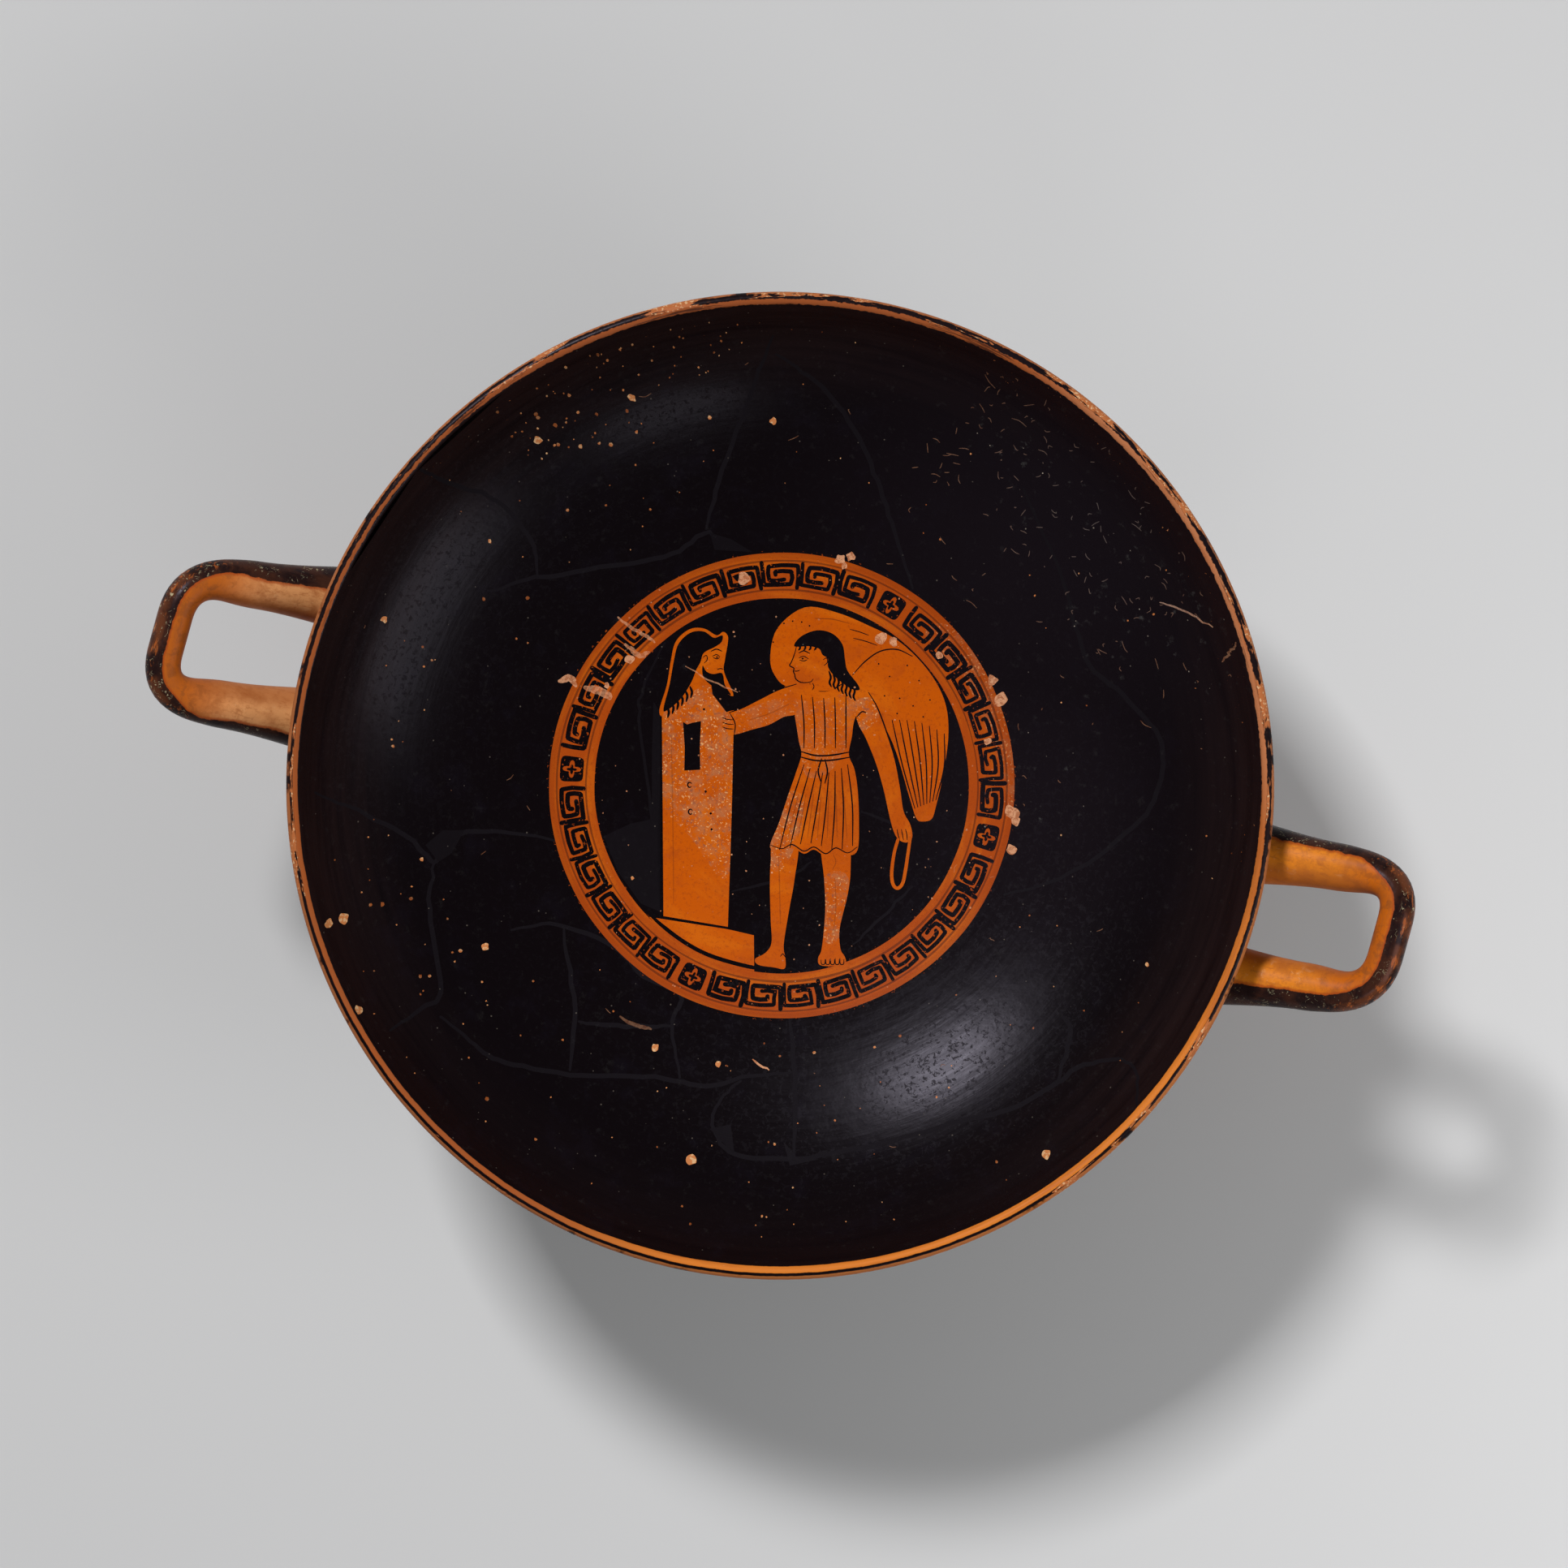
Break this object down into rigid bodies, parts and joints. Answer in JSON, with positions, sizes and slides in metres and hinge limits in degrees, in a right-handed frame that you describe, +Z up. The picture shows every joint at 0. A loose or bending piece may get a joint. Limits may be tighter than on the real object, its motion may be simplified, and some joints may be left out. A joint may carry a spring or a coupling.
{
  "type": "greek kylix drinking cup",
  "caption": "Greek kylix: shallow black-glazed clay cup on a stemmed foot, with looped handles and a reserved picture in its floor.",
  "frame": {"origin": "middle of the foot's underside, on the surface that the cup stands on", "axes": "+Z up through the stem and the middle of the bowl, +X through the middle of the right handle"},
  "size_m": [0.301, 0.2296, 0.0862],
  "materials": {
    "glazed_clay": "gloss"
  },
  "bodies": {
    "root": {"kylix": "glazed_clay"}
  },
  "joints": []
}
